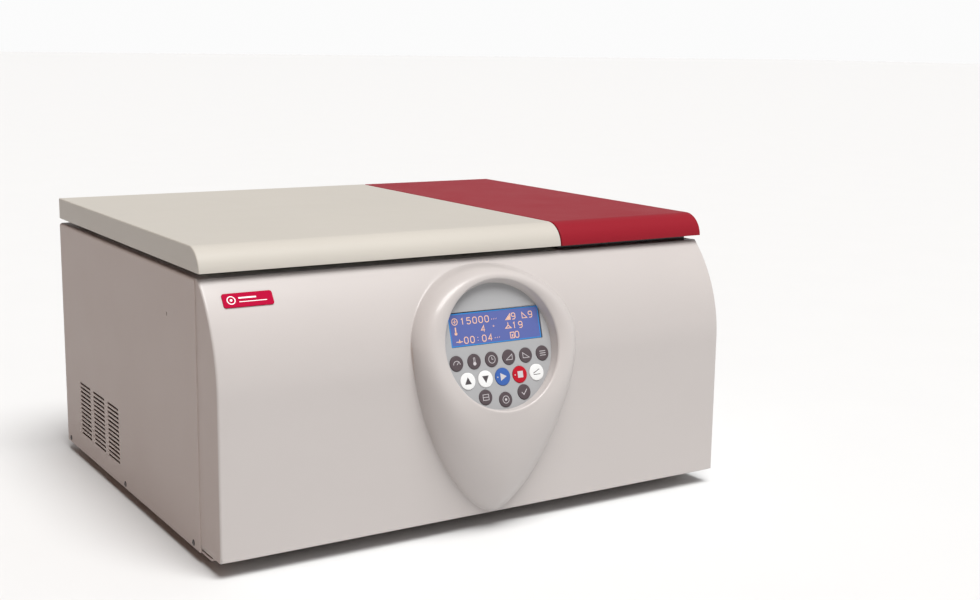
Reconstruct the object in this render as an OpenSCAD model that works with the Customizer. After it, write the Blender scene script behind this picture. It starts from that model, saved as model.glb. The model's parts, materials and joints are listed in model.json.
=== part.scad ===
// Refrigerated bench centrifuge. Millimetres, front towards -Y, up is +Z.
// Sub-parts are drawn in cabinet coordinates: x from the middle of the cabinet, y back from the
// flat front face, z up from the bottom edge of the side panels. at_cabinet() moves them to the
// part's own frame, whose origin is the middle of the footprint, under the feet.

/* [Cabinet] */
// Width over the side panels
cabinet_w = 720; // [716:1:724]
// Distance from the flat front face to the rear panel's outer face
cabinet_d = 597; // [595:1:600]
// Height of the side panels
panel_h = 320; // [318:1:322]
// Sheet steel thickness
sheet = 2; // [1.5:0.5:2.5]
// Height of the rubber feet
foot_h = 14; // [10:1:20]

/* [Front fascia] */
// Distance from the flat front face to the seam with the side panels
fascia_d = 60.6; // [58:0.2:62]
// Wall thickness of the moulding
fascia_wall = 4; // [3:0.5:5]
// Height at which the flat face starts to curve back
curve_z = 192; // [185:1:200]
// Radius of the curved top of the face
curve_r = 180; // [176:1:190]

/* [Control panel] */
// Radius of the round opening
open_r = 80; // [78:0.5:82]
// Distance of the opening's centre in front of the flat face
open_out = 17.4; // [15:0.2:20]
// Height of the opening's centre
open_z = 222.2; // [220:0.2:225]
// Angle the opening leans back
tilt = 16; // [12:1:20]
// Depth of the key plate below the rim
recess = 12; // [10:0.5:14]
// Half width of the moulded surround
surround_w = 115; // [110:1:120]
// Height of the surround above the opening's centre
surround_up = 91.8; // [88:0.2:93]
// Length of the surround below the opening's centre
surround_down = 215.2; // [205:0.2:216]
// Radius of the dark and lower keys
key_r = 9.25; // [8.5:0.25:9.5]
// Radius of the arrow, stop and door keys
big_key_r = 10.4; // [10:0.1:10.6]
// Radius of the start key
start_key_r = 10.8; // [10.4:0.1:11]
// Distance between neighbouring keys in a row
key_pitch = 24.8; // [24.4:0.1:25.2]

/* [Lid] */
// Height of the gap under the lid
lid_gap = 7; // [6.5:0.5:8]
// Thickness of the lid
lid_h = 28.5; // [27:0.5:30]
// Radius of the rounded front edge
lid_r = 30; // [28:1:31]
// Distance of the lid's front edge behind the flat face
lid_front = 45; // [44:1:47]
// Where the lid ends and the fixed cover begins
lid_split_x = 126.6; // [120:0.2:130]

/* [Chamber and rotor] */
// Left-right place of the spindle
chamber_x = -117; // [-120:1:-114]
// Front-back place of the spindle
chamber_y = 365; // [362:1:367]
// Inner radius of the chamber bowl
bowl_r = 160; // [156:1:161]
// Largest radius of the rotor
rotor_r = 128; // [124:1:130]
// Radius of a tube well
well_r = 14.75; // [13:0.25:15]
// Lean of the tube wells
well_tilt = 25; // [23:1:27]
// Number of tube wells
wells = 6; // [4:1:6]

/* [Hidden] */
$fn = 96;
eps = 0.01;
half_w = cabinet_w / 2;
front_y = (open_out + open_r * sin(tilt) - cabinet_d) / 2;
lid_z = panel_h + lid_gap;
lid_top = lid_z + lid_h;
deck_z = panel_h - sheet;
run = 0.06;

TOP_KEYS = [for (i = [1:6]) str("key_top_", i)];
LOW_KEYS = [for (i = [1:3]) str("key_low_", i)];

// ---- placing helpers -------------------------------------------------------------------------

module at_cabinet() translate([0, front_y, foot_h]) children();

// A box given by its low and high corners
module block(low, high) translate(low) cube(high - low);

// A cylinder along X between x0 and x1, at y and z
module x_rod(x0, x1, y, z, r) translate([x0, y, z]) rotate([0, 90, 0]) cylinder(r = r, h = x1 - x0);

// A cylinder along Y between y0 and y1, at x and z
module y_rod(x, y0, y1, z, r) translate([x, y1, z]) rotate([90, 0, 0]) cylinder(r = r, h = y1 - y0);

// Spindle coordinates: z stays in cabinet height
module at_spindle() at_cabinet() translate([chamber_x, chamber_y, 0]) children();

// Key plate coordinates: x right, y up the plate, z out of its front face
module at_key_plate() at_cabinet()
    translate([0, -open_out + recess * cos(tilt), open_z - recess * sin(tilt)])
        rotate([90 - tilt, 0, 0]) children();

// A ring with a rectangular section
module ring(r_in, r_out, z0, z1) rotate_extrude()
    translate([r_in, z0]) square([r_out - r_in, z1 - z0]);

elbow = 1.12;

// A pipe run in straight lengths, with a brazed elbow drawn as a slightly larger ball
module pipe_run(points, r) for (i = [0:len(points) - 2]) {
    span = points[i + 1] - points[i];
    translate(points[i]) rotate([0, acos(span.z / norm(span)), atan2(span.y, span.x)])
        cylinder(r = r, h = norm(span), $fn = 24);
    translate(points[i + 1]) sphere(r = elbow * r, $fn = 24);
}

// ---- cabinet -----------------------------------------------------------------------------------

pan_t = 3;
pan_front = 30;
pan_flange = 20;
foot_x = 310;
foot_ys = [95, 545];
screw_z = 6;
screw_ys = [82, 332, 582];
motor_mount_r = 74;
compressor_at = [245, 440];

module base_pan() color("silver") at_cabinet() difference() {
    union() {
        block([-half_w + sheet, pan_front, 0], [half_w - sheet, cabinet_d - sheet, pan_t]);
        for (side = [-1, 1]) translate([side * (half_w - sheet - 1), 0, 0])
            block([-1, fascia_d + 2, 0], [1, cabinet_d - sheet, pan_flange]);
    }
    for (x = [-foot_x, foot_x], y = foot_ys) translate([x, y, -1]) cylinder(r = 3.3, h = 5);
}

module rubber_feet() color("dimgray") at_cabinet()
    for (x = [-foot_x, foot_x], y = foot_ys) translate([x, y, -foot_h]) {
        cylinder(r = 18, h = 3);
        translate([0, 0, 3]) cylinder(r1 = 18, r2 = 20, h = foot_h - 3);
        cylinder(r = 3.2, h = foot_h + 8);
    }

bend_r = 4;
flange_w = 15;
vent_pitch = 6;
vent_rows = 13;
vent_z = 28.7;
vent_h = 3;
vent_columns = [[352.7, 400.5], [413.5, 464], [477, 525]];
release_at = [154, 264.5];

// A side panel, with its outer face at x = half_w
module side_panel(with_release) difference() {
    union() {
        block([half_w - sheet, fascia_d, 0], [half_w, cabinet_d, panel_h - bend_r]);
        block([half_w - flange_w, fascia_d, deck_z], [half_w - bend_r, cabinet_d, panel_h]);
        intersection() {
            y_rod(half_w - bend_r, fascia_d, cabinet_d, panel_h - bend_r, bend_r);
            block([half_w - bend_r, 0, panel_h - bend_r], [half_w, cabinet_d, panel_h]);
        }
    }
    intersection() {
        y_rod(half_w - bend_r, 0, cabinet_d + 1, panel_h - bend_r, bend_r - sheet);
        block([half_w - bend_r - eps, 0, panel_h - bend_r - eps], [half_w, cabinet_d + 1, panel_h]);
    }
    for (column = vent_columns, row = [0:vent_rows - 1])
        block([half_w - 5, column[0], vent_z + row * vent_pitch - vent_h / 2],
            [half_w + 1, column[1], vent_z + row * vent_pitch + vent_h / 2]);
    for (y = screw_ys) x_rod(half_w - 5, half_w + 1, y, screw_z, 2.1);
    if (with_release) x_rod(half_w - 5, half_w + 1, release_at[0], release_at[1], 2.5);
}

module left_side_panel() color("gainsboro") at_cabinet() mirror([1, 0, 0]) side_panel(true);

module right_side_panel() color("gainsboro") at_cabinet() side_panel(false);

inlet_x = 290;
inlet_z = 62;
inlet_half = [27, 17];
rear_slot_rows = 12;

module rear_panel() color("gainsboro") at_cabinet() difference() {
    block([-half_w + sheet, cabinet_d - sheet, 0], [half_w - sheet, cabinet_d, deck_z]);
    block([inlet_x - inlet_half[0], cabinet_d - 5, inlet_z - inlet_half[1]],
        [inlet_x + inlet_half[0], cabinet_d + 1, inlet_z + inlet_half[1]]);
    for (x = [130, 200], row = [0:rear_slot_rows - 1])
        block([x, cabinet_d - 5, 120 + row * 12], [x + 60, cabinet_d + 1, 124 + row * 12]);
}

module panel_screws() color("dimgray") at_cabinet()
    for (side = [-1, 1], y = screw_ys) {
        x_rod(side * (half_w + 0.5) - 0.5, side * (half_w + 0.5) + 0.5, y, screw_z, 3.8, $fn = 32);
        x_rod(side * (half_w - 1) - 1, side * (half_w - 1) + 1, y, screw_z, 2, $fn = 32);
    }

// ---- front fascia --------------------------------------------------------------------------------

function face_y(z) = z < curve_z ? 0 : curve_r - sqrt(pow(curve_r, 2) - pow(z - curve_z, 2));

// The solid behind a face that is flat below curve_z and curves back above it
module face_solid(x, inset, z_low, z_high, y_back) {
    block([-x, inset, z_low], [x, y_back, curve_z]);
    intersection() {
        x_rod(-x, x, curve_r, curve_z, curve_r - inset, $fn = 200);
        block([-x, 0, curve_z - eps], [x, y_back, z_high]);
    }
}

ring_steps = 8;
turn_steps = 64;
skin = 5;

// The surround's outline and the opening's edge, as radii about the opening's centre, seen square on
function outline_r(a) = let (n = sin(a) > 0 ? 2 : 1.6, h = sin(a) > 0 ? surround_up : surround_down)
    pow(pow(abs(cos(a)) / surround_w, n) + pow(abs(sin(a)) / h, n), -1 / n);
function rim_r(a) = 1 / norm([cos(a) / open_r, sin(a) / (open_r * cos(tilt))]);
function rim_y(a) = -open_out + rim_r(a) * sin(a) * tan(tilt);
function fall(t) = 1 - pow(1 - pow(t, 2.2), 0.55);
function surround_point(a, t, back) = let (
        r = (rim_r(a) - 2) * (1 - t) + outline_r(a) * t,
        z = open_z + r * sin(a),
        g = fall(t))
    [r * cos(a), rim_y(a) * (1 - g) + (face_y(z) + 0.5) * g + back, z];

// The domed skin between the rim of the opening and the outline on the face
module surround() {
    per = turn_steps;
    rows = ring_steps + 1;
    points = [for (back = [0, skin], k = [0:ring_steps], i = [0:per - 1])
        surround_point(i * 360 / per, sin(90 * k / ring_steps), back)];
    function at(side, k, i) = side * rows * per + k * per + i % per;
    faces = concat(
        [for (k = [0:ring_steps - 1], i = [0:per - 1]) each
            [[at(0, k, i), at(0, k, i + 1), at(0, k + 1, i + 1)],
             [at(0, k, i), at(0, k + 1, i + 1), at(0, k + 1, i)]]],
        [for (k = [0:ring_steps - 1], i = [0:per - 1]) each
            [[at(1, k, i), at(1, k + 1, i + 1), at(1, k, i + 1)],
             [at(1, k, i), at(1, k + 1, i), at(1, k + 1, i + 1)]]],
        [for (i = [0:per - 1]) each
            [[at(0, 0, i), at(1, 0, i + 1), at(0, 0, i + 1)],
             [at(0, 0, i), at(1, 0, i), at(1, 0, i + 1)]]],
        [for (i = [0:per - 1]) each
            [[at(0, rows - 1, i), at(0, rows - 1, i + 1), at(1, rows - 1, i + 1)],
             [at(0, rows - 1, i), at(1, rows - 1, i + 1), at(1, rows - 1, i)]]]);
    polyhedron(points, faces);
}

// The outline as a prism through the face wall
module outline_prism(grow) translate([0, fascia_d, open_z]) rotate([90, 0, 0])
    linear_extrude(fascia_d + 5) polygon([for (i = [0:turn_steps - 1])
        let (a = i * 360 / turn_steps) outline_r(a) * grow * [cos(a), sin(a)]]);

fascia_bottom = 6;

module front_fascia() color("whitesmoke") difference() {
    union() {
        at_cabinet() difference() {
            face_solid(half_w, 0, fascia_bottom, panel_h, fascia_d);
            face_solid(half_w - fascia_wall, fascia_wall, fascia_bottom + fascia_wall,
                panel_h - fascia_wall, fascia_d + 5);
            outline_prism(0.96);
        }
        at_cabinet() surround();
        at_key_plate() ring(open_r - 1, open_r + 4, -3, recess - 2);
    }
    at_key_plate() translate([0, 0, -25]) cylinder(r = open_r, h = 60);
}

badge_at = [-308, 296.5];
badge_size = [60, 17.5];

module badge_plate() color("firebrick") at_cabinet()
    translate([badge_at[0], face_y(badge_at[1]), badge_at[1]])
        rotate([90 - asin((badge_at[1] - curve_z) / curve_r), 0, 0])
            linear_extrude(1.2) union() {
                square([badge_size[0] - 4, badge_size[1]], center = true);
                square([badge_size[0], badge_size[1] - 4], center = true);
                for (sx = [-1, 1], sy = [-1, 1])
                    translate([sx * (badge_size[0] / 2 - 2), sy * (badge_size[1] / 2 - 2)])
                        circle(r = 2, $fn = 24);
            }

// ---- deck, fixed cover and lid -----------------------------------------------------------------------

mouth_r = bowl_r + 1.8;
deck_x = half_w - flange_w - 0.2;
hinge_xs = [-290, 66];
hinge_y = 588;
hinge_z = 332;
striker_xs = [-217, -17];
striker_y = 128;
strut_x = -336;

module top_deck() color("gainsboro") at_cabinet() difference() {
    block([-deck_x, fascia_d + 0.2, deck_z], [deck_x, cabinet_d - sheet - 0.2, panel_h]);
    translate([chamber_x, chamber_y, deck_z - 1]) cylinder(r = mouth_r, h = 5, $fn = 180);
    for (x = striker_xs) block([x - 14, striker_y - 7, deck_z - 1], [x + 14, striker_y + 9, panel_h + 1]);
    block([strut_x - 7, 515, deck_z - 1], [strut_x + 7, 562, panel_h + 1]);
}

// A shallow box with a rounded front edge, open below
module cover_shell(x0, x1, wall) difference() {
    cover_solid(x0, x1, 0);
    cover_solid(x0 + wall, x1 - wall, wall);
}

module cover_solid(x0, x1, inset) {
    axis_y = lid_front + lid_r;
    block([x0, axis_y, lid_z - (inset > 0 ? 1 : 0)], [x1, cabinet_d - inset, lid_top - inset]);
    intersection() {
        x_rod(x0, x1, axis_y, lid_top - lid_r, lid_r - inset, $fn = 128);
        block([x0, 0, lid_z - (inset > 0 ? 1 : 0)], [x1, axis_y + eps, lid_top]);
    }
}

cover_wall = 2.5;
skirt_in = 10;

module right_cover() color("firebrick") at_cabinet() {
    cover_shell(lid_split_x + 1.2, half_w, cover_wall);
    difference() {
        block([lid_split_x + skirt_in, lid_front + 22, panel_h],
            [half_w - skirt_in, cabinet_d - skirt_in, lid_top - cover_wall]);
        block([lid_split_x + skirt_in + cover_wall, lid_front + 22 + cover_wall, panel_h - 1],
            [half_w - skirt_in - cover_wall, cabinet_d - skirt_in - cover_wall, lid_top]);
    }
}

module hinge_notches(z0, z1, y0) for (x = hinge_xs)
    block([x - 20, y0, z0], [x + 20, cabinet_d + 5, z1]);

module lid_shell() color("linen") at_cabinet() difference() {
    cover_shell(-half_w, lid_split_x, cover_wall);
    hinge_notches(lid_z - 2, lid_z + 18, 574);
}

liner_z = lid_z + 0.5;
liner_t = 2;

module lid_liner() color("gainsboro") at_cabinet() difference() {
    block([-half_w + cover_wall, lid_front + 6, liner_z],
        [lid_split_x - cover_wall, cabinet_d - cover_wall, liner_z + liner_t]);
    hinge_notches(liner_z - 1, liner_z + 5, 572);
    block([strut_x - 10, 526, liner_z - 1], [strut_x + 10, 568, liner_z + 5]);
}

pin_r = 3;

module hinge_brackets() color("silver") at_cabinet() for (x = hinge_xs) {
    block([x - 18, 575, panel_h], [x + 18, 594, panel_h + 2]);
    for (side = [-1, 1]) difference() {
        union() {
            block([x + side * 13 - 3, hinge_y - 6.5, panel_h + 2], [x + side * 13 + 3, hinge_y + 6.5, hinge_z]);
            x_rod(x + side * 13 - 3, x + side * 13 + 3, hinge_y, hinge_z, 6.5);
        }
        x_rod(x - 20, x + 20, hinge_y, hinge_z, pin_r);
    }
    x_rod(x - 17, x + 17, hinge_y, hinge_z, pin_r);
}

strut_top = [544, 324];
liner_top = liner_z + liner_t;

module lid_hinge_arms() color("silver") at_cabinet() {
    for (x = hinge_xs) difference() {
        union() {
            x_rod(x - 9.6, x + 9.6, hinge_y, hinge_z, 6.5);
            block([x - 9.6, 515, liner_top], [x + 9.6, hinge_y, liner_top + 7]);
            block([x - 28, 515, liner_top], [x + 28, 565, liner_top + 3]);
        }
        x_rod(x - 20, x + 20, hinge_y, hinge_z, pin_r + run);
    }
    // Fork for the gas strut's upper eye
    block([strut_x - 16, 530, liner_top + 9], [strut_x + 16, 560, liner_top + 12]);
    for (side = [-1, 1]) {
        block([strut_x + side * 14.5 - 1.5, 530, liner_top], [strut_x + side * 14.5 + 1.5, 560, liner_top + 9]);
        block([strut_x + side * 8.2 - 1, 537, panel_h + 1], [strut_x + side * 8.2 + 1, 552, liner_top + 9]);
    }
}

striker_low = 288;

module lid_strikers() color("silver") at_cabinet() for (x = striker_xs) difference() {
    block([x - 12, striker_y - 2, striker_low], [x + 12, striker_y + 2, liner_z]);
    block([x - 7, striker_y - 5, striker_low + 5], [x + 7, striker_y + 5, striker_low + 26]);
}

// ---- latch ------------------------------------------------------------------------------------------

latch_y = release_at[0];
latch_z = release_at[1];
latch_open = 28;
shaft_r = 4;
hook_h = 37;
hook_reach = 37;

module latch_frame() color("silver") at_cabinet() difference() {
    for (x = [-247, 13]) block([x - 2, latch_y - 12, latch_z - 12], [x + 2, latch_y + 4, deck_z]);
    x_rod(-260, 30, latch_y, latch_z, shaft_r + run);
}

module latch_motor() color("dimgray") at_cabinet() difference() {
    union() {
        x_rod(15, 60, latch_y, latch_z, 13);
        block([15, latch_y - 13, latch_z - 13], [19, latch_y + 4, latch_z + 13]);
    }
    x_rod(10, 27, latch_y, latch_z, shaft_r + run);
}

// Drawn with the hooks drawn back, clear of the lid's strikers
module latch_shaft() color("silver") at_cabinet() translate([0, latch_y, latch_z]) {
    difference() {
        x_rod(-half_w + 6, 26, 0, 0, shaft_r);
        translate([-half_w + 5, 0, 0]) rotate([0, 90, 0]) cylinder(r = 2.1, h = 9, $fn = 6);
    }
    rotate([-latch_open, 0, 0]) for (x = striker_xs) {
        x_rod(x - 5, x + 5, 0, 0, 8);
        block([x - 5, -12, 0], [x + 5, -4, hook_h]);
        block([x - 5, -hook_reach, hook_h - 7], [x + 5, -4, hook_h]);
        block([x - 5, -hook_reach, hook_h - 11], [x + 5, -hook_reach + 5.5, hook_h]);
    }
}

// ---- gas strut ---------------------------------------------------------------------------------------

strut_foot = [440, 190];
strut_span = strut_top - strut_foot;
strut_angle = atan2(strut_span[1], strut_span[0]);
barrel_l = 110;
rod_l = 135;

module strut_bracket() color("silver") at_cabinet() {
    block([-half_w + sheet, strut_foot[0] - 20, strut_foot[1] - 20],
        [-half_w + sheet + 3, strut_foot[0] + 20, strut_foot[1] + 20]);
    x_rod(-half_w + sheet + 3, strut_x + 8, strut_foot[0], strut_foot[1], 4);
    x_rod(strut_x + 8, strut_x + 10, strut_foot[0], strut_foot[1], 7);
}

// Along the strut: z runs from the lower eye towards the upper one
module along_strut() at_cabinet() translate([strut_x, strut_foot[0], strut_foot[1]])
    rotate([strut_angle - 90, 0, 0]) children();

module strut_cylinder() color("dimgray") along_strut() difference() {
    union() {
        x_rod(-6, 6, 0, 0, 8);
        cylinder(r = 5, h = 14);
        translate([0, 0, 12]) cylinder(r = 9, h = barrel_l - 12);
    }
    x_rod(-8, 8, 0, 0, 4 + run);
    translate([0, 0, 26]) cylinder(r = 4 + run, h = barrel_l);
}

module strut_rod() color("silver") along_strut() translate([0, 0, norm(strut_span)]) {
    translate([0, 0, -rod_l]) cylinder(r = 4, h = rod_l - 6);
    difference() {
        x_rod(-5, 5, 0, 0, 7);
        x_rod(-8, 8, 0, 0, 3.5);
    }
}

// ---- chamber ------------------------------------------------------------------------------------------

bowl_floor = 158;
bowl_t = 1.5;
boot_r = 25;

bowl_corner = 18;

// Half of an upright cup's section: a rounded bottom corner below a straight wall
module cup_section(r, z0, z1, corner) {
    translate([0, z0 + corner]) square([r, z1 - z0 - corner]);
    translate([0, z0]) square([r - corner, corner + eps]);
    translate([r - corner, z0 + corner]) circle(r = corner, $fn = 64);
}

module chamber_bowl() color("silver") at_spindle() rotate_extrude($fn = 180) {
    difference() {
        cup_section(bowl_r + bowl_t, bowl_floor, panel_h + 1.2, bowl_corner + bowl_t);
        cup_section(bowl_r, bowl_floor + bowl_t, panel_h + 5, bowl_corner);
        translate([0, bowl_floor - 1]) square([boot_r + 0.2, 10]);
    }
    translate([bowl_r, panel_h]) square([15, 1.2]);
}

gasket_top = lid_z + 0.1;

module chamber_gasket() color("dimgray") at_spindle()
    ring(bowl_r + 4, bowl_r + 13.5, panel_h + 1.2, gasket_top, $fn = 128);

coil_r = 3.5;
coil_turns = 9;

module evaporator_coil() color("peru") at_spindle() {
    centre_r = bowl_r + bowl_t + coil_r + 0.4;
    for (i = [0:coil_turns - 1]) rotate_extrude($fn = 128)
        translate([centre_r, 180 + i * 14]) circle(r = coil_r, $fn = 24);
    translate([centre_r + 1, -4, 176]) cube([coil_r, 8, (coil_turns - 1) * 14 + 8]);
}

module chamber_insulation() color("khaki") at_spindle()
    ring(bowl_r + 10, bowl_r + 33, 166, deck_z, $fn = 128);

module guard_ring() color("gray") at_spindle() ring(bowl_r + 34, bowl_r + 40, 150, deck_z - 4, $fn = 128);

// ---- motor and rotor --------------------------------------------------------------------------------------

motor_z = 21;
motor_top = 141;
bearing_zs = [motor_z + 5, motor_top - 15];
spindle_r = 8;

module motor_housing() color("slategray") at_spindle() {
    rotate_extrude() difference() {
        union() {
            translate([0, motor_z]) square([60, motor_top - motor_z]);
            translate([0, motor_z]) square([88, 4]);
            for (i = [0:9]) translate([0, motor_z + 16 + i * 9]) square([64, 4]);
        }
        translate([-1, motor_z + 15]) square([54, motor_top - motor_z - 30]);
        for (z = bearing_zs) translate([-1, z]) square([18, 10.2]);
        translate([-1, motor_z - 1]) square([10.5, 200]);
    }
}

module motor_bearings() color("silver") at_spindle() for (z = bearing_zs)
    ring(spindle_r + run, 17, z + 0.1, z + 9.9);

module vibration_mounts() color("dimgray") at_spindle() for (i = [0:2])
    rotate([0, 0, 30 + i * 120]) translate([motor_mount_r, 0, pan_t]) cylinder(r = 13, h = motor_z - pan_t);

module shaft_boot() color("dimgray") at_spindle() rotate_extrude() union() {
    translate([22, motor_top]) square([18, 3]);
    translate([22, motor_top]) square([3, 24]);
    for (i = [0:2]) translate([22, motor_top + 5 + i * 4]) square([5, 2]);
    translate([22, bowl_floor + bowl_t]) square([9, 2.5]);
}

rotor_low = 188;
rotor_top = 290;
well_mouth_r = 62;
well_depth = 88;

module rotor_body() color("lightsteelblue") at_spindle() difference() {
    rotate_extrude($fn = 128) polygon([[0, rotor_low + 14], [34, rotor_low + 14], [52, rotor_low],
        [rotor_r - 22, rotor_low + 6], [rotor_r, rotor_low + 20], [rotor_r, rotor_low + 36],
        [92, rotor_top - 2], [90, rotor_top], [0, rotor_top]]);
    translate([0, 0, rotor_low - 1]) cylinder(r = spindle_r + 0.02, h = 200);
    for (i = [0:wells - 1]) rotate([0, 0, i * 360 / wells + 30]) translate([well_mouth_r, 0, rotor_top])
        rotate([0, 180 - well_tilt, 0]) {
            translate([0, 0, -20]) cylinder(r = well_r, h = well_depth - well_r + 20, $fn = 64);
            translate([0, 0, well_depth - well_r]) sphere(r = well_r, $fn = 64);
        }
}

module rotor_spindle() color("silver") at_spindle() {
    translate([0, 0, motor_z + 2]) cylinder(r = spindle_r, h = rotor_top + 8 - motor_z - 2);
    translate([0, 0, motor_z + 18]) cylinder(r = 48, h = motor_top - motor_z - 36);
}

module rotor_knob() color("dimgray") at_spindle() difference() {
    union() {
        translate([0, 0, rotor_top]) cylinder(r = 26, h = 5);
        translate([0, 0, rotor_top + 5]) cylinder(r = 22, h = 17);
        for (i = [0:5]) rotate([0, 0, i * 60]) translate([20, 0, rotor_top + 5]) cylinder(r = 5.5, h = 17);
    }
    translate([0, 0, rotor_top - 1]) cylinder(r = spindle_r + 0.02, h = 9.01);
}

// ---- refrigeration -------------------------------------------------------------------------------------------

shell_r = 72;
mount_xs = [-82, 82];
mount_ys = [-50, 50];

module compressor() color("#222222") at_cabinet() translate([compressor_at[0], compressor_at[1], 0]) {
    rotate_extrude() {
        translate([0, 55]) square([shell_r, 110]);
        for (z = [55, 165]) intersection() {
            translate([0, z]) circle(r = shell_r);
            translate([0, 25]) square([shell_r, 188]);
        }
        translate([0, 105]) square([shell_r + 3, 8]);
    }
    difference() {
        block([-95, -62, 20], [95, 62, 25.5]);
        for (x = mount_xs, y = mount_ys) translate([x, y, 10]) cylinder(r = 5, h = 20);
    }
}

module compressor_mounts() color("dimgray") at_cabinet() for (x = mount_xs, y = mount_ys)
    translate([compressor_at[0] + x, compressor_at[1] + y, pan_t]) cylinder(r = 11, h = 20 - pan_t);

fan_at = [235, 160];
fins = 26;
fin_pitch = 7.6;

module condenser() color("darkgray") at_cabinet() {
    for (i = [0:fins - 1]) block([137 + i * fin_pitch, 98, 26], [138.4 + i * fin_pitch, 134, 294]);
    for (z = [45:38:275]) x_rod(134, 332, 116, z, 5, $fn = 24);
    for (z = [22, 294]) block([134, 98, z], [331, 134, z + 4]);
    for (x = [150, 310]) block([x, 100, pan_t], [x + 12, 132, 22]);
}

module fan_shroud() color("dimgray") at_cabinet() difference() {
    block([135, 134.2, 40], [335, 172, 280]);
    block([138, 130, 43], [332, 142, 277]);
    y_rod(fan_at[0], 130, 180, fan_at[1], 92);
}

module fan_motor() color("#222222") at_cabinet() difference() {
    union() {
        y_rod(fan_at[0], 174, 222, fan_at[1], 34);
        for (a = [45:90:315]) translate([fan_at[0], 172, fan_at[1]]) rotate([0, a, 0])
            block([-4, 0, 12], [4, 5, 98]);
    }
    y_rod(fan_at[0], 170, 176, fan_at[1], 5 + run);
}

module fan_blades() color("dimgray") at_cabinet() {
    y_rod(fan_at[0], 148, 169, fan_at[1], 26);
    y_rod(fan_at[0], 165, 174.5, fan_at[1], 5);
    for (a = [0:72:288]) translate([fan_at[0], 158, fan_at[1]]) rotate([0, a, 0])
        rotate([0, 0, 28]) block([-19, -1, 20], [19, 1, 86]);
}

// Each run stops just short of what it is brazed to
module refrigerant_pipes() color("peru") at_cabinet() {
    pipe_run([[compressor_at[0], compressor_at[1] - shell_r - 0.1, 135], [compressor_at[0], 260, 135],
        [125, 260, 135], [125, 116, 235], [129.4, 116, 235]], 4);
    pipe_run([[compressor_at[0] - shell_r - 0.1, compressor_at[1], 135], [140, compressor_at[1], 135],
        [122, chamber_y, 155], [89, chamber_y, 155]], 5);
    pipe_run([[332, 116, 45], [345, 116, 45], [345, 300, 45], [345, 300, 120]], 3.5);
    translate([345, 300, 120]) cylinder(r = 10, h = 90);
}

// ---- electronics -------------------------------------------------------------------------------------------------

module drive_board() color("seagreen") at_cabinet() {
    block([-320, 70, 15], [-60, 200, 16.6]);
    for (x = [-312, -68], y = [78, 192]) translate([x, y, pan_t]) cylinder(r = 4, h = 15 - pan_t);
    for (i = [0:8]) block([-300 + i * 10, 80, 16.6], [-297 + i * 10, 190, 56]);
    block([-304, 78, 16.6], [-212, 192, 21]);
    for (x = [-180, -145, -110], y = [100, 150]) translate([x, y, 16.6]) cylinder(r = 13, h = 45);
}

plate_t = 2.5;
keys_top_v = -15.3;
keys_mid_v = -37.8;
keys_low_v = [-59.8, -65.8, -59.8];
keys_low_u = 27.8;
lcd_low = 4.1;
lcd_size = [130, 40.5];

function top_key_u(i) = (i - 3.5) * key_pitch;
MID_KEYS = [["key_up", -2], ["key_down", -1], ["key_start", 0], ["key_stop", 1], ["key_door", 2]];
function mid_key_r(i) = MID_KEYS[i][1] == 0 ? start_key_r : big_key_r;
KEY_SPOTS = concat(
    [for (i = [1:6]) [top_key_u(i), keys_top_v, key_r]],
    [for (i = [0:4]) [MID_KEYS[i][1] * key_pitch, keys_mid_v, mid_key_r(i)]],
    [for (i = [0:2]) [(i - 1) * keys_low_u, keys_low_v[i], key_r]]);

module keypad_plate() color("silver") at_key_plate() difference() {
    translate([0, 0, -plate_t]) cylinder(r = open_r - 0.1, h = plate_t, $fn = 128);
    block([-lcd_size[0] / 2 - 0.2, lcd_low - 0.2, -5], [lcd_size[0] / 2 + 0.2, lcd_low + lcd_size[1] + 0.2, 1]);
    for (k = KEY_SPOTS) translate([k[0], k[1], -5]) cylinder(r = k[2] + 0.3, h = 10, $fn = 48);
}

module lcd_module() color("royalblue") at_key_plate() {
    block([-lcd_size[0] / 2, lcd_low, -plate_t], [lcd_size[0] / 2, lcd_low + lcd_size[1], -1]);
    block([-65, lcd_low - 3, -8], [65, lcd_low + lcd_size[1] + 0.4, -plate_t]);
}

key_travel = 0.8;

module control_board() color("seagreen") at_key_plate() {
    block([-72, -76, -8.1], [72, -1, -6.5]);
    for (k = KEY_SPOTS) translate([k[0], k[1], -6.5]) cylinder(r = 4, h = 1.4, $fn = 32);
    for (x = [-60, 60]) translate([x, -48, -6.5]) cylinder(r = 3, h = 4, $fn = 32);
}

// A key cap with the flange that holds it behind the plate
module key_cap(spot) at_key_plate() translate([spot[0], spot[1], 0]) {
    translate([0, 0, -plate_t - 1.5]) cylinder(r = spot[2] + 0.7, h = 1.2, $fn = 48);
    translate([0, 0, -plate_t - 0.4]) cylinder(r = spot[2], h = plate_t + 1.4, $fn = 48);
}

module key_up() color("white") key_cap(KEY_SPOTS[6]);
module key_down() color("white") key_cap(KEY_SPOTS[7]);
module key_start() color("royalblue") key_cap(KEY_SPOTS[8]);
module key_stop() color("crimson") key_cap(KEY_SPOTS[9]);
module key_door() color("white") key_cap(KEY_SPOTS[10]);
module key_top(i) color("dimgray") key_cap(KEY_SPOTS[i - 1]);
module key_low(i) color("dimgray") key_cap(KEY_SPOTS[10 + i]);

// ---- mains inlet ---------------------------------------------------------------------------------------------------

rocker_x = 14;
rocker_turn = 7;
rocker_y = cabinet_d - 3.5;

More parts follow.
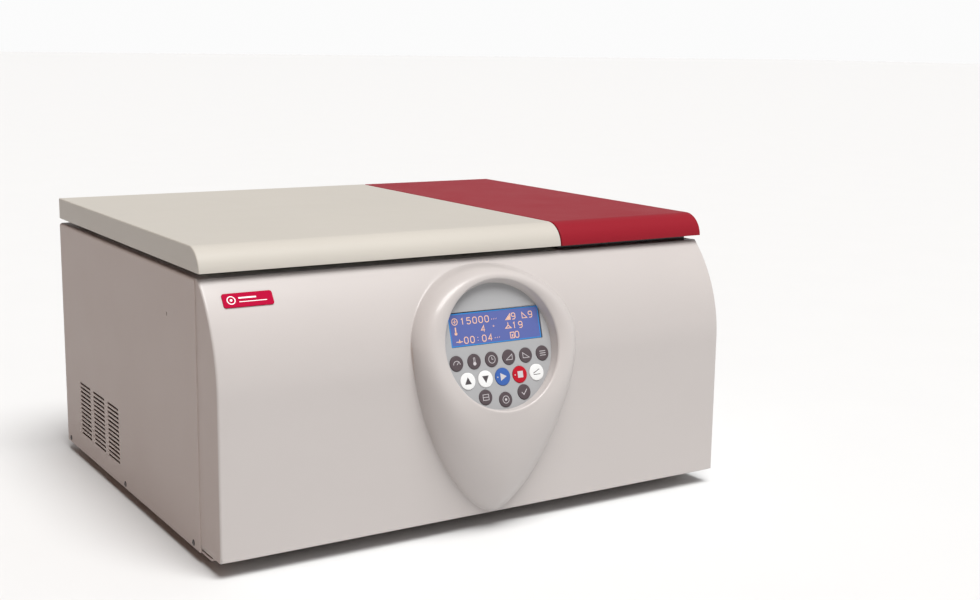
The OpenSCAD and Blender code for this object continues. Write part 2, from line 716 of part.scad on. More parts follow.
module power_inlet() color("#222222") at_cabinet() translate([inlet_x, 0, inlet_z]) {
    difference() {
        block([-inlet_half[0] + 0.1, cabinet_d - 30, -inlet_half[1] + 0.1],
            [inlet_half[0] - 0.1, cabinet_d - 0.2, inlet_half[1] - 0.1]);
        block([-24, cabinet_d - 19, -12], [-1, cabinet_d + 1, 12]);
        block([rocker_x - 9, cabinet_d - 22, -13], [rocker_x + 9, cabinet_d + 1, 13]);
    }
    for (z = [-7, 0, 7]) block([z == 0 ? -18 : -9, cabinet_d - 20, z - 1], [z == 0 ? -14 : -5, cabinet_d - 4, z + 1]);
    block([rocker_x - 9, rocker_y - 12, -0.5], [rocker_x + 9, rocker_y - 10, 0.5]);
}

module mains_rocker() color("crimson") at_cabinet() translate([inlet_x + rocker_x, rocker_y, inlet_z])
    rotate([rocker_turn, 0, 0]) difference() {
        block([-8.4, -8, -10.5], [8.4, 0.8, 10.5]);
        translate([0, 27, 0]) rotate([0, 90, 0]) cylinder(r = 28, h = 40, center = true, $fn = 128);
    }

base_pan();
rubber_feet();
left_side_panel();
right_side_panel();
rear_panel();
front_fascia();
top_deck();
right_cover();
badge_plate();
panel_screws();
chamber_bowl();
chamber_gasket();
chamber_insulation();
evaporator_coil();
guard_ring();
motor_housing();
motor_bearings();
vibration_mounts();
shaft_boot();
compressor();
compressor_mounts();
condenser();
fan_shroud();
fan_motor();
refrigerant_pipes();
drive_board();
keypad_plate();
lcd_module();
control_board();
hinge_brackets();
latch_frame();
latch_motor();
power_inlet();
strut_bracket();
lid_shell();
lid_liner();
lid_hinge_arms();
lid_strikers();
strut_cylinder();
strut_rod();
latch_shaft();
rotor_body();
rotor_spindle();
rotor_knob();
fan_blades();
mains_rocker();
key_up();
key_down();
key_start();
key_stop();
key_door();
for (i = [1:6]) key_top(i);
for (i = [1:3]) key_low(i);
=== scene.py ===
"""Refrigerated bench centrifuge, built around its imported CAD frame.

Sizes are millimetres in cabinet coordinates: x from the middle of the cabinet, y back from the flat front
face, z up from the bottom edge of the side panels. cab() turns them into the frame's metres.
"""

import json
import math

import bmesh
import bpy
from mathutils import Matrix, Vector


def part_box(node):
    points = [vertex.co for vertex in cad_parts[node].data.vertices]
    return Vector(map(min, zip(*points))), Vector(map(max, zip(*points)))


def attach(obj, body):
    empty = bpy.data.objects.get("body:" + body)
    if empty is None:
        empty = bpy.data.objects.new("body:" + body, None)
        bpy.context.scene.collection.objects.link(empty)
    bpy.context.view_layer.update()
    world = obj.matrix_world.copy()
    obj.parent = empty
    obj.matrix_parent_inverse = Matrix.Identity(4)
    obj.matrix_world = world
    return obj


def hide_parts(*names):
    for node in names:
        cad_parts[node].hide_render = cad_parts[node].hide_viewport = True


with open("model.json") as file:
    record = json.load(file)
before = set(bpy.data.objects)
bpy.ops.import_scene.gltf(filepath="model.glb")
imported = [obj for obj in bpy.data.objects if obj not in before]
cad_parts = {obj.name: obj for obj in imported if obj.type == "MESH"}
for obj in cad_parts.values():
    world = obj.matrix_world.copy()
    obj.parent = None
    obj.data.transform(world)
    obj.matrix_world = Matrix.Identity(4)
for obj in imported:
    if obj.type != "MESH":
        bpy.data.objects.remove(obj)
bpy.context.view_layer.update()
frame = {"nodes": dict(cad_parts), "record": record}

# ---- Sizes ----------------------------------------------------------------------------------------

MM = 0.001
HALF_W = 360
CABINET_D = 597
PANEL_H = 320
FASCIA_D = 60.6
FASCIA_BOTTOM = 6
CURVE_Z, CURVE_R = 192, 180

OPEN_R, OPEN_OUT, OPEN_Z = 80, 17.4, 222.2
TILT = math.radians(16)
RECESS = 12
SURROUND_W, SURROUND_UP, SURROUND_DOWN = 117, 91.8, 215.2

LID_Z, LID_TOP, LID_FRONT, LID_R = 327, 355.5, 45, 30
LID_SPLIT_X = 126.6
SEAM = 1.2
HINGE_XS = (-290, 66)

REAR_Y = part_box("rear_panel")[1].y
FRONT_Y = REAR_Y - CABINET_D * MM
FOOT_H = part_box("left_side_panel")[0].z


def cab(x, y, z):
    """A point in the frame, from cabinet coordinates."""
    return Vector((x * MM, FRONT_Y + y * MM, FOOT_H + z * MM))


CABINET = Matrix.Translation(cab(0, 0, 0)) @ Matrix.Scale(MM, 4)
KEY_PLATE = (
    Matrix.Translation(cab(0, -OPEN_OUT + RECESS * math.cos(TILT), OPEN_Z - RECESS * math.sin(TILT)))
    @ Matrix.Rotation(math.radians(90) - TILT, 4, "X")
    @ Matrix.Scale(MM, 4)
)


# ---- Camera, lights and floor ---------------------------------------------------------------------

CAMERA_AT = (-892.6, -1385.2, 579.1)
CAMERA_AZIMUTH, CAMERA_ELEVATION, CAMERA_ROLL = -32.52086, 10.46868, 0.86704
CAMERA_LENS, CAMERA_SENSOR = 50.701, 36.0


def add_camera():
    azimuth, elevation = math.radians(CAMERA_AZIMUTH), math.radians(CAMERA_ELEVATION)
    level = math.cos(elevation)
    back = Vector((math.sin(azimuth) * level, -math.cos(azimuth) * level, math.sin(elevation)))
    right = (-back).cross(Vector((0, 0, 1))).normalized()
    turn = Matrix.Rotation(math.radians(CAMERA_ROLL), 3, back)
    right = turn @ right
    up = back.cross(right)
    data = bpy.data.cameras.new("camera")
    data.lens = CAMERA_LENS
    data.sensor_width = CAMERA_SENSOR
    data.clip_start = 0.01
    camera = bpy.data.objects.new("camera", data)
    facing = Matrix((right, up, back)).transposed().to_4x4()
    camera.matrix_world = Matrix.Translation(cab(*CAMERA_AT)) @ facing
    bpy.context.scene.collection.objects.link(camera)
    bpy.context.scene.camera = camera


KEY_FROM = (0.03, -0.38, 0.93)
KEY_STRENGTH, KEY_SOFTNESS = 3.9, math.radians(35)
KEY_COLOUR = (1.0, 0.99, 0.975)
SKY_HORIZON = (0.93, 0.93, 0.94, 1.0)
SKY_HIGH, SKY_HIGH_FROM, SKY_HIGH_TO = (0.38, 0.38, 0.38, 1.0), 0.04, 0.14
SKY_LEFT, SKY_LEFT_FROM, SKY_LEFT_TO = (0.12, 0.045, 0.02, 1.0), 0.0, -0.5
BACKDROP = (0.97, 0.97, 0.97, 1.0)


def add_lights():
    """A soft key from the front, in a studio that is white round the horizon, dimmer above and on the left.

    The backdrop itself shows as one plain pale tone.
    """
    data = bpy.data.lights.new("key", "SUN")
    data.energy = KEY_STRENGTH
    data.angle = KEY_SOFTNESS
    data.color = KEY_COLOUR
    key = bpy.data.objects.new("key", data)
    key.rotation_euler = Vector(KEY_FROM).to_track_quat("Z", "Y").to_euler()
    bpy.context.scene.collection.objects.link(key)

    world = bpy.data.worlds.new("studio")
    world.use_nodes = True
    tree = world.node_tree
    direction = tree.nodes.new("ShaderNodeTexCoord").outputs["Generated"]
    parts = tree.nodes.new("ShaderNodeSeparateXYZ")
    tree.links.new(direction, parts.inputs["Vector"])
    colour = SKY_HORIZON
    ramps = (("Z", SKY_HIGH_FROM, SKY_HIGH_TO, SKY_HIGH), ("X", SKY_LEFT_FROM, SKY_LEFT_TO, SKY_LEFT))
    for axis, start, end, other in ramps:
        along = tree.nodes.new("ShaderNodeMapRange")
        along.inputs["From Min"].default_value = start
        along.inputs["From Max"].default_value = end
        tree.links.new(parts.outputs[axis], along.inputs["Value"])
        sky = tree.nodes.new("ShaderNodeMix")
        sky.data_type = "RGBA"
        if axis == "Z":
            sky.inputs["A"].default_value = colour
        else:
            tree.links.new(colour, sky.inputs["A"])
        sky.inputs["B"].default_value = other
        tree.links.new(along.outputs["Result"], sky.inputs["Factor"])
        colour = sky.outputs["Result"]
    seen = tree.nodes.new("ShaderNodeMix")
    seen.data_type = "RGBA"
    seen.inputs["B"].default_value = BACKDROP
    tree.links.new(tree.nodes.new("ShaderNodeLightPath").outputs["Is Camera Ray"], seen.inputs["Factor"])
    tree.links.new(colour, seen.inputs["A"])
    tree.links.new(seen.outputs["Result"], tree.nodes["Background"].inputs["Color"])
    bpy.context.scene.world = world
    bpy.context.scene.view_settings.view_transform = "Standard"


# ---- Materials ------------------------------------------------------------------------------------

def shade(colour, factor):
    return tuple(min(1.0, c * factor) for c in colour[:3]) + (1.0,)


def noise(tree, vector, scale, detail=3.0):
    node = tree.nodes.new("ShaderNodeTexNoise")
    node.inputs["Scale"].default_value = scale
    node.inputs["Detail"].default_value = detail
    tree.links.new(vector, node.inputs["Vector"])
    return node.outputs["Fac"]


COAT_ROUGHNESS = 0.12
GRAIN_DEPTH = 0.0004


def finish_material(name, colour, rough, metallic=0.0, vary=0.03, vary_scale=5.0, grain=0.08,
                    grain_scale=700.0, stretch=(1, 1, 1), rough_vary=0.06, coat=0.0, sheen=0.0,
                    specular=0.5, emission=0.0):
    """A Principled surface with a soft tone variation, uneven gloss and a fine surface grain."""
    made = bpy.data.materials.new(name)
    made.use_nodes = True
    tree = made.node_tree
    shader = tree.nodes["Principled BSDF"]
    shader.inputs["Metallic"].default_value = metallic
    shader.inputs["Coat Weight"].default_value = coat
    shader.inputs["Coat Roughness"].default_value = COAT_ROUGHNESS
    shader.inputs["Sheen Weight"].default_value = sheen
    shader.inputs["Specular IOR Level"].default_value = specular
    place = tree.nodes.new("ShaderNodeTexCoord").outputs["Object"]

    tone = tree.nodes.new("ShaderNodeMix")
    tone.data_type = "RGBA"
    tone.inputs["A"].default_value = shade(colour, 1 - vary)
    tone.inputs["B"].default_value = shade(colour, 1 + vary)
    tree.links.new(noise(tree, place, vary_scale), tone.inputs["Factor"])
    tree.links.new(tone.outputs["Result"], shader.inputs["Base Color"])
    if emission:
        shader.inputs["Emission Strength"].default_value = emission
        tree.links.new(tone.outputs["Result"], shader.inputs["Emission Color"])

    spread = tree.nodes.new("ShaderNodeMapRange")
    spread.inputs["To Min"].default_value = max(0.02, rough - rough_vary)
    spread.inputs["To Max"].default_value = min(1.0, rough + rough_vary)
    tree.links.new(noise(tree, place, vary_scale * 3), spread.inputs["Value"])
    tree.links.new(spread.outputs["Result"], shader.inputs["Roughness"])

    scaled = tree.nodes.new("ShaderNodeMapping")
    scaled.inputs["Scale"].default_value = stretch
    tree.links.new(place, scaled.inputs["Vector"])
    bump = tree.nodes.new("ShaderNodeBump")
    bump.inputs["Strength"].default_value = grain
    bump.inputs["Distance"].default_value = GRAIN_DEPTH
    tree.links.new(noise(tree, scaled.outputs["Vector"], grain_scale, 2.0), bump.inputs["Height"])
    tree.links.new(bump.outputs["Normal"], shader.inputs["Normal"])
    return made


MATERIALS = {
    "fascia_plastic": dict(colour=(0.50, 0.468, 0.455), rough=0.38, grain=0.22,
                           grain_scale=1100, coat=0.2, specular=0.35),
    "lid_paint": dict(colour=(0.50, 0.475, 0.43), rough=0.45, grain=0.22, grain_scale=900, specular=0.25),
    # Cabinet paint is darker and warmer than the fascia plastic: partly the cabinet's own paint, partly
    # painted shade, the warm dim tone of sides turned away from the key.
    "cabinet_paint": dict(colour=(0.47, 0.408, 0.38), rough=0.50, grain=0.22, grain_scale=900, specular=0.3),
    "red_paint": dict(colour=(0.255, 0.014, 0.024), rough=0.42, grain=0.25, grain_scale=900, specular=0.05),
    "panel_grey": dict(colour=(0.355, 0.36, 0.37), rough=0.5, grain=0.12, grain_scale=1500, specular=0.3),
    "key_dark": dict(colour=(0.078, 0.06, 0.067), rough=0.5, grain=0.1, grain_scale=2500, specular=0.3),
    "key_white": dict(colour=(0.74, 0.75, 0.75), rough=0.45, grain=0.1, grain_scale=2500),
    "key_blue": dict(colour=(0.03, 0.10, 0.36), rough=0.42, grain=0.1, grain_scale=2500),
    "key_red": dict(colour=(0.42, 0.006, 0.018), rough=0.42, grain=0.1, grain_scale=2500, specular=0.2),
    "print_light": dict(colour=(0.52, 0.50, 0.52), rough=0.5),
    "print_dark": dict(colour=(0.06, 0.05, 0.055), rough=0.5),
    "lcd_blue": dict(colour=(0.085, 0.11, 0.30), rough=0.2, grain=0.0, emission=0.2, specular=0.3),
    "lcd_border": dict(colour=(0.03, 0.20, 0.50), rough=0.2, emission=0.15),
    "lcd_ink": dict(colour=(0.70, 0.43, 0.30), rough=0.4, emission=0.1),
    "badge_red": dict(colour=(0.40, 0.004, 0.036), rough=0.3, grain=0.02, specular=0.02),
    "badge_white": dict(colour=(0.86, 0.85, 0.86), rough=0.3),
    "dark_steel": dict(colour=(0.10, 0.09, 0.09), rough=0.35, metallic=0.9),
    "zinc_steel": dict(colour=(0.42, 0.43, 0.44), rough=0.45, metallic=0.9, vary=0.08, vary_scale=40),
    "stainless": dict(colour=(0.68, 0.68, 0.69), rough=0.24, metallic=1.0, grain=0.25,
                      grain_scale=220, stretch=(0.12, 0.12, 8)),
    "liner_steel": dict(colour=(0.64, 0.64, 0.65), rough=0.32, metallic=1.0, grain=0.2,
                        grain_scale=260, stretch=(0.1, 8, 1)),
    "bearing_steel": dict(colour=(0.60, 0.61, 0.63), rough=0.18, metallic=1.0),
    "chromed_steel": dict(colour=(0.78, 0.78, 0.79), rough=0.08, metallic=1.0),
    "guard_steel": dict(colour=(0.20, 0.21, 0.22), rough=0.5, metallic=0.4, grain=0.3),
    "cast_aluminium": dict(colour=(0.50, 0.52, 0.55), rough=0.5, metallic=0.9, grain=0.5, grain_scale=300),
    "rotor_aluminium": dict(colour=(0.46, 0.49, 0.53), rough=0.3, metallic=1.0, grain=0.2,
                            grain_scale=500, stretch=(0.2, 0.2, 6)),
    "black_anodised": dict(colour=(0.03, 0.03, 0.034), rough=0.35, metallic=0.6),
    "fin_aluminium": dict(colour=(0.62, 0.63, 0.64), rough=0.35, metallic=1.0),
    "copper": dict(colour=(0.70, 0.32, 0.17), rough=0.3, metallic=1.0, vary=0.12, vary_scale=60),
    "foam": dict(colour=(0.70, 0.55, 0.28), rough=0.9, grain=0.8, grain_scale=250, sheen=0.2),
    "black_rubber": dict(colour=(0.022, 0.022, 0.023), rough=0.75, grain=0.3),
    "grey_rubber": dict(colour=(0.10, 0.10, 0.105), rough=0.7, grain=0.3),
    "black_plastic": dict(colour=(0.022, 0.022, 0.024), rough=0.48, grain=0.25),
    "black_paint": dict(colour=(0.018, 0.018, 0.02), rough=0.28, grain=0.2, coat=0.3),
    "circuit_board": dict(colour=(0.015, 0.12, 0.05), rough=0.35, vary=0.2, vary_scale=200),
    "rocker_red": dict(colour=(0.55, 0.015, 0.01), rough=0.2, coat=0.4),
    "floor": dict(colour=(0.70, 0.71, 0.715), rough=0.7, vary=0.01, grain=0.02),
}
made_materials = {}


def material(name):
    if name not in made_materials:
        made_materials[name] = finish_material(name, **MATERIALS[name])
    return made_materials[name]


# ---- Mesh helpers ---------------------------------------------------------------------------------

def add_object(name, mesh, material_name, smooth_deg=35):
    mesh.materials.clear()
    mesh.materials.append(material(material_name))
    if mesh.polygons:
        mesh.shade_smooth()
        mesh.set_sharp_from_angle(angle=math.radians(smooth_deg))
    made = bpy.data.objects.new(name, mesh)
    bpy.context.scene.collection.objects.link(made)
    return made


def add_mesh(name, points, faces, material_name, place=CABINET, smooth_deg=35, outward=True):
    """A mesh object from points in place's own coordinates, with its faces turned outwards."""
    mesh = bpy.data.meshes.new(name)
    mesh.from_pydata([place @ Vector(p) for p in points], [], faces)
    shell = bmesh.new()
    shell.from_mesh(mesh)
    if outward:
        bmesh.ops.recalc_face_normals(shell, faces=shell.faces)
    shell.to_mesh(mesh)
    shell.free()
    mesh.validate()
    return add_object(name, mesh, material_name, smooth_deg)


def piece(made, body, slot, *nodes):
    """Rides on its body and stands for its CAD nodes, which it hides. The slot is not used."""
    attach(made, body)
    if nodes:
        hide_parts(*nodes)
    return made


def soften(made, width, segments=3, angle=40):
    """Rounds every edge sharper than angle, width in millimetres."""
    modifier = made.modifiers.new("soften", "BEVEL")
    modifier.width = width * MM
    modifier.segments = segments
    modifier.limit_method = "ANGLE"
    modifier.angle_limit = math.radians(angle)
    modifier.harden_normals = True
    return made


def soften_marked(made, width, segments=4):
    """Rounds the marked edges: each edge's weight is a share of width, in millimetres."""
    modifier = made.modifiers.new("soften", "BEVEL")
    modifier.width = width * MM
    modifier.segments = segments
    modifier.limit_method = "WEIGHT"
    modifier.harden_normals = True
    return made


def thicken(made, wall):
    """Gives an open skin a wall, inwards, in millimetres."""
    modifier = made.modifiers.new("wall", "SOLIDIFY")
    modifier.thickness = wall * MM
    modifier.offset = -1
    modifier.use_even_offset = False
    return made


def flatten_shading(made):
    """Lets the large flat faces set the shading next to their small rounded edges."""
    modifier = made.modifiers.new("flat_faces", "WEIGHTED_NORMAL")
    modifier.keep_sharp = True
    return made


def mark_edges(made, weights):
    """Sets the bevel weight of edges given as pairs of vertex indices."""
    mesh = made.data
    weight_of = {tuple(sorted(pair)): weight for pair, weight in weights.items()}
    layer = mesh.attributes.new("bevel_weight_edge", "FLOAT", "EDGE")
    for edge in mesh.edges:
        layer.data[edge.index].value = weight_of.get(tuple(sorted(edge.vertices)), 0.0)


def lathe(name, profile, material_name, place, segments=96, closed=True, smooth_deg=35, radius_at=None):
    """Turns a profile of (radius, height) points about place's Z axis."""
    points, faces = [], []
    rows = len(profile)
    for i in range(segments):
        angle = 2 * math.pi * i / segments
        for r, h in profile:
            reach = r * (radius_at(angle, h) if radius_at else 1)
            points.append((reach * math.cos(angle), reach * math.sin(angle), h))
    last = rows if closed else rows - 1
    for i in range(segments):
        a, b = i * rows, (i + 1) % segments * rows
        for j in range(last):
            k = (j + 1) % rows
            faces.append((a + j, b + j, b + k, a + k))
    made = add_mesh(name, points, faces, material_name, place, smooth_deg)
    weld = bmesh.new()
    weld.from_mesh(made.data)
    bmesh.ops.remove_doubles(weld, verts=weld.verts, dist=1e-6)
    bmesh.ops.recalc_face_normals(weld, faces=weld.faces)
    weld.to_mesh(made.data)
    weld.free()
    return made


def arc(cx, cy, r, start_deg, end_deg, steps):
    """Points along an arc, both ends included."""
    return [
        (cx + r * math.cos(math.radians(start_deg + (end_deg - start_deg) * i / steps)),
         cy + r * math.sin(math.radians(start_deg + (end_deg - start_deg) * i / steps)))
        for i in range(steps + 1)
    ]


def rounded_rect(x0, y0, x1, y1, r, steps=6):
    """Anticlockwise outline of a rectangle with round corners."""
    return (arc(x1 - r, y0 + r, r, -90, 0, steps) + arc(x1 - r, y1 - r, r, 0, 90, steps)
            + arc(x0 + r, y1 - r, r, 90, 180, steps) + arc(x0 + r, y0 + r, r, 180, 270, steps))


def disc_outline(cx, cy, r, steps=48):
    return arc(cx, cy, r, 0, 360 - 360 / steps, steps - 1)


def plate_mesh(name, outer, holes, thickness, rim):
    """A flat plate with holes and softened edges, its front face at height 0 and its back at -thickness."""
    curve = bpy.data.curves.new(name, "CURVE")
    curve.dimensions = "2D"
    curve.fill_mode = "BOTH"
    curve.extrude = thickness / 2 - rim
    curve.bevel_depth = rim
    curve.bevel_resolution = 2
    curve.offset = -rim
    for outline in [outer] + [hole[::-1] for hole in holes]:
        spline = curve.splines.new("POLY")
        spline.points.add(len(outline) - 1)
        for point, (x, y) in zip(spline.points, outline):
            point.co = (x, y, 0, 1)
        spline.use_cyclic_u = True
    holder = bpy.data.objects.new(name, curve)
    bpy.context.scene.collection.objects.link(holder)
    bpy.context.view_layer.update()
    mesh = bpy.data.meshes.new_from_object(holder.evaluated_get(bpy.context.evaluated_depsgraph_get()))
    bpy.data.objects.remove(holder)
    bpy.data.curves.remove(curve)
    weld = bmesh.new()
    weld.from_mesh(mesh)
    bmesh.ops.remove_doubles(weld, verts=weld.verts, dist=1e-4)
    bmesh.ops.translate(weld, verts=weld.verts, vec=(0, 0, -thickness / 2))
    weld.to_mesh(mesh)
    weld.free()
    mesh.name = name
    return mesh


def plate(name, outer, holes, thickness, rim, material_name, place):
    mesh = plate_mesh(name, outer, holes, thickness, rim)
    mesh.transform(place)
    return flatten_shading(add_object(name, mesh, material_name))


def ribbon(points, width, closed=False):
    """(left edge, right edge) of a flat line of even width with mitred corners."""
    left, right = [], []
    count = len(points)
    for i, point in enumerate(points):
        here = Vector(point)
        before = Vector(points[i - 1]) if (i > 0 or closed) else None
        after = Vector(points[(i + 1) % count]) if (i < count - 1 or closed) else None
        into = (here - before).normalized() if before is not None else (after - here).normalized()
        out = (after - here).normalized() if after is not None else into
        normal = Vector((-(into + out).y, (into + out).x)).normalized()
        reach = width / 2 / max(0.35, normal.dot(Vector((-into.y, into.x))))
        left.append(here + normal * reach)
        right.append(here - normal * reach)
    return left, right


def printed(name, lines, fills, height, material_name, place):
    """Thin printing that stands height above place: lines are (points, width, closed), fills are outlines."""
    points, faces = [], []
    for line, width, closed in lines:
        left, right = ribbon(line, width, closed)
        base, count = len(points), len(line)
        for l, r in zip(left, right):
            points += [(l.x, l.y, 0), (r.x, r.y, 0), (r.x, r.y, height), (l.x, l.y, height)]
        for i in range(count if closed else count - 1):
            a, b = base + 4 * i, base + 4 * ((i + 1) % count)
            faces += [(a + j, b + j, b + (j + 1) % 4, a + (j + 1) % 4) for j in range(4)]
        if not closed:
            end = base + 4 * (count - 1)
            faces += [(base, base + 1, base + 2, base + 3), (end + 3, end + 2, end + 1, end)]
    for outline in fills:
        base, count = len(points), len(outline)
        points += [(x, y, 0) for x, y in outline] + [(x, y, height) for x, y in outline]
        faces += [tuple(range(base, base + count)), tuple(range(base + count, base + 2 * count))]
        faces += [(base + i, base + (i + 1) % count, base + count + (i + 1) % count, base + count + i)
                  for i in range(count)]
    return add_mesh(name, points, faces, material_name, place)


# ---- Front fascia ---------------------------------------------------------------------------------

FASCIA_HALF_W = HALF_W - 1.1
FOOT_SIDE, FOOT_TOP = 1.2, 5.0
SWELL = 5.0
RIM_ROUND = 2.6
SIDE_ROUND, TOP_ROUND = 3.0, 1.2
LIP = ((RECESS + 3, 2.8), (RECESS - 0.5, 2.6), (8, 1.7), (4.6, 0.5))
TURN_STEPS = 264
CROWN_STEPS = 30
FIELD_STEPS = 18
ROUND_STEPS = 6
FOOT_RINGS = (1, 2.2, 4, 6.5, 10)


def face_y(z):
    return 0.0 if z < CURVE_Z else CURVE_R - math.sqrt(CURVE_R**2 - (z - CURVE_Z) ** 2)


def outline_r(angle):
    """The surround's outline seen square on: an ellipse above the opening, a fuller point below."""
    c, s = abs(math.cos(angle)), abs(math.sin(angle))
    power, reach = (2.0, SURROUND_UP) if math.sin(angle) > 0 else (1.6, SURROUND_DOWN)
    return ((c / SURROUND_W) ** power + (s / reach) ** power) ** (-1 / power)


def rim_r(angle):
    return 1 / math.hypot(math.cos(angle) / OPEN_R, math.sin(angle) / (OPEN_R * math.cos(TILT)))


def rim_y(angle):
    return -OPEN_OUT + rim_r(angle) * math.sin(angle) * math.tan(TILT)


def border_r(angle):
    """Distance from the opening's centre to the fascia's edge, seen square on."""
    c, s = math.cos(angle), math.sin(angle)
    sideways = FASCIA_HALF_W / abs(c) if abs(c) > 1e-9 else math.inf
    reach = PANEL_H - OPEN_Z if s > 0 else OPEN_Z - FASCIA_BOTTOM
    return min(sideways, reach / abs(s) if abs(s) > 1e-9 else math.inf)


def rounding(radius, inset):
    """How far a rounded edge falls away at a distance in from it."""
    return radius - math.sqrt(max(0.0, radius**2 - max(0.0, radius - inset) ** 2))


def fascia_point(angle, r):
    """A point on the face or on the surround, which rises from it crisply below and softly above."""
    inner, outer = rim_r(angle), outline_r(angle)
    above, below = max(0.0, math.sin(angle)), max(0.0, -math.sin(angle))
    z = OPEN_Z + r * math.sin(angle)
    height = face_y(z) - rim_y(angle)
    along = min(1.0, max(0.0, (r - inner) / (outer - inner)))
    proud = height * (1 - along ** (3 - 0.7 * below)) ** (0.5 + 0.22 * below)
    proud += SWELL * math.cos(angle) ** 2 * math.sin(math.pi * along)
    foot = FOOT_SIDE + FOOT_TOP * above**2
    near = max(foot - proud - max(r - outer, 0), 0) / foot
    fallen = rounding(RIM_ROUND, r - inner)
    return (r * math.cos(angle), face_y(z) - proud - near * near * foot / 4 + fallen, z)


def edge_rounding(angle):
    """(radius, slant) of the fascia's rounded edge: slant turns a distance in from it into a change of r."""
    on_side = abs(border_r(angle) * math.cos(angle)) > FASCIA_HALF_W - 0.01
    return (SIDE_ROUND, abs(math.cos(angle))) if on_side else (TOP_ROUND, abs(math.sin(angle)))


def ring_radii(angle):
    """Radii from the opening's rim out to where the fascia's edge starts to turn back."""
    inner, outer, border = rim_r(angle), outline_r(angle), border_r(angle)
    radius, slant = edge_rounding(angle)
    flat_end = border - radius / slant
    spare = flat_end - outer
    soft = [RIM_ROUND * (1 - math.cos(math.pi / 2 * k / ROUND_STEPS)) for k in range(ROUND_STEPS)]
    crown = inner + RIM_ROUND
    radii = [inner + step for step in soft]
    radii += [crown + (outer - crown) * (1 - (1 - k / CROWN_STEPS) ** 1.6) for k in range(CROWN_STEPS + 1)]
    radii += [outer + min(step, spare * step / 14) for step in FOOT_RINGS]
    last = radii[-1]
    return radii + [last + (flat_end - last) * (k / FIELD_STEPS) ** 1.3 for k in range(1, FIELD_STEPS + 1)]


def edge_point(angle, turn):
    """A point on the fascia's rounded edge, turned back by turn from the face."""
    radius, slant = edge_rounding(angle)
    x, y, z = fascia_point(angle, border_r(angle) - radius * (1 - math.sin(turn)) / slant)
    return (x, y + radius * (1 - math.cos(turn)), z)


def build_fascia():
    corners = [math.atan2(z - OPEN_Z, x) % (2 * math.pi)
               for x in (-FASCIA_HALF_W, FASCIA_HALF_W) for z in (FASCIA_BOTTOM, PANEL_H)]
    angles = [2 * math.pi * i / TURN_STEPS for i in range(TURN_STEPS)]
    angles = sorted([a for a in angles if min(abs(a - c) for c in corners) > 0.006] + corners)
    count = len(angles)
    rows = []
    for sunk, narrower in LIP:
        shrink = 1 - narrower / OPEN_R
        row = []
        for angle in angles:
            reach = rim_r(angle)
            x, z = reach * math.cos(angle), OPEN_Z + reach * math.sin(angle)
            row.append((x * shrink, rim_y(angle) + sunk * math.cos(TILT),
                        OPEN_Z + (z - OPEN_Z) * shrink - sunk * math.sin(TILT)))
        rows.append(row)
    radii = [ring_radii(a) for a in angles]
    rows += [[fascia_point(a, reach[k]) for a, reach in zip(angles, radii)] for k in range(len(radii[0]))]
    turns = [math.pi / 2 * k / ROUND_STEPS for k in range(1, ROUND_STEPS + 1)]
    rows += [[edge_point(a, turn) for a in angles] for turn in turns]
    rows.append([(x, FASCIA_D, z) for x, y, z in rows[-1]])
    points = [p for row in rows for p in row]
    faces = []
    for k in range(len(rows) - 1):
        for i in range(count):
            j = (i + 1) % count
            faces.append((k * count + i, k * count + j, (k + 1) * count + j, (k + 1) * count + i))
    fascia = add_mesh("fascia_skin", points, faces, "fascia_plastic", smooth_deg=80)
    # The fascia's faces that look straight left or right take the cabinet paint: painted shade, darker and
    # warmer than the plastic, so they match the shaded side panels.
    fascia.data.materials.append(material("cabinet_paint"))
    for face in fascia.data.polygons:
        if abs(face.normal.x) > 0.98:
            face.material_index = 1
    flatten_shading(thicken(fascia, 2.5))
    piece(fascia, "chassis", "fascia_plastic", "front_fascia")


# ---- Lid and fixed cover --------------------------------------------------------------------------

COVER_WALL, COVER_ROUND = 2, 1.6
NOTCH_HALF_W, NOTCH_H = 20, 18


def build_cover(name, x0, x1, finish, body, node, notches=()):
    """A shallow shell with a rounded front, open below, with notches in its rear wall for hinges."""
    profile = [(LID_FRONT + 0.04, LID_Z)]
    profile += arc(LID_FRONT + LID_R, LID_TOP - LID_R, LID_R, 180 - 2.9, 90, 20)
    profile += [(CABINET_D, z) for z in (LID_TOP, LID_Z + NOTCH_H, LID_Z)]
    stations = sorted({x0, x1} | {x + side * NOTCH_HALF_W for x in notches for side in (-1, 1)})
    rows = len(profile)
    points = [(x, y, z) for x in stations for y, z in profile]
    faces, weights = [], {}
    last = len(stations) - 1
    for s in range(last):
        middle = (stations[s] + stations[s + 1]) / 2
        cut = any(abs(middle - x) < NOTCH_HALF_W for x in notches)
        for k in range(rows - 1):
            if cut and k == rows - 2:
                continue
            a = s * rows + k
            faces.append((a, a + 1, a + rows + 1, a + rows))
        top_back = rows - 3
        weights[(s * rows + top_back, (s + 1) * rows + top_back)] = 1.0
    for s in (0, last):
        faces.append(tuple(range(s * rows, (s + 1) * rows)))
        for k in range(rows - 1):
            weights[(s * rows + k, s * rows + k + 1)] = 1.0
    cover = add_mesh(name, points, faces, finish)
    mark_edges(cover, weights)
    soften_marked(cover, COVER_ROUND)
    flatten_shading(thicken(cover, COVER_WALL))
    piece(cover, body, finish, node)


def build_lids():
    build_cover("lid_skin", -HALF_W, LID_SPLIT_X, "lid_paint", "lid", "lid_shell", HINGE_XS)
    build_cover("fixed_cover_skin", LID_SPLIT_X + SEAM, HALF_W, "red_paint", "chassis", "right_cover")


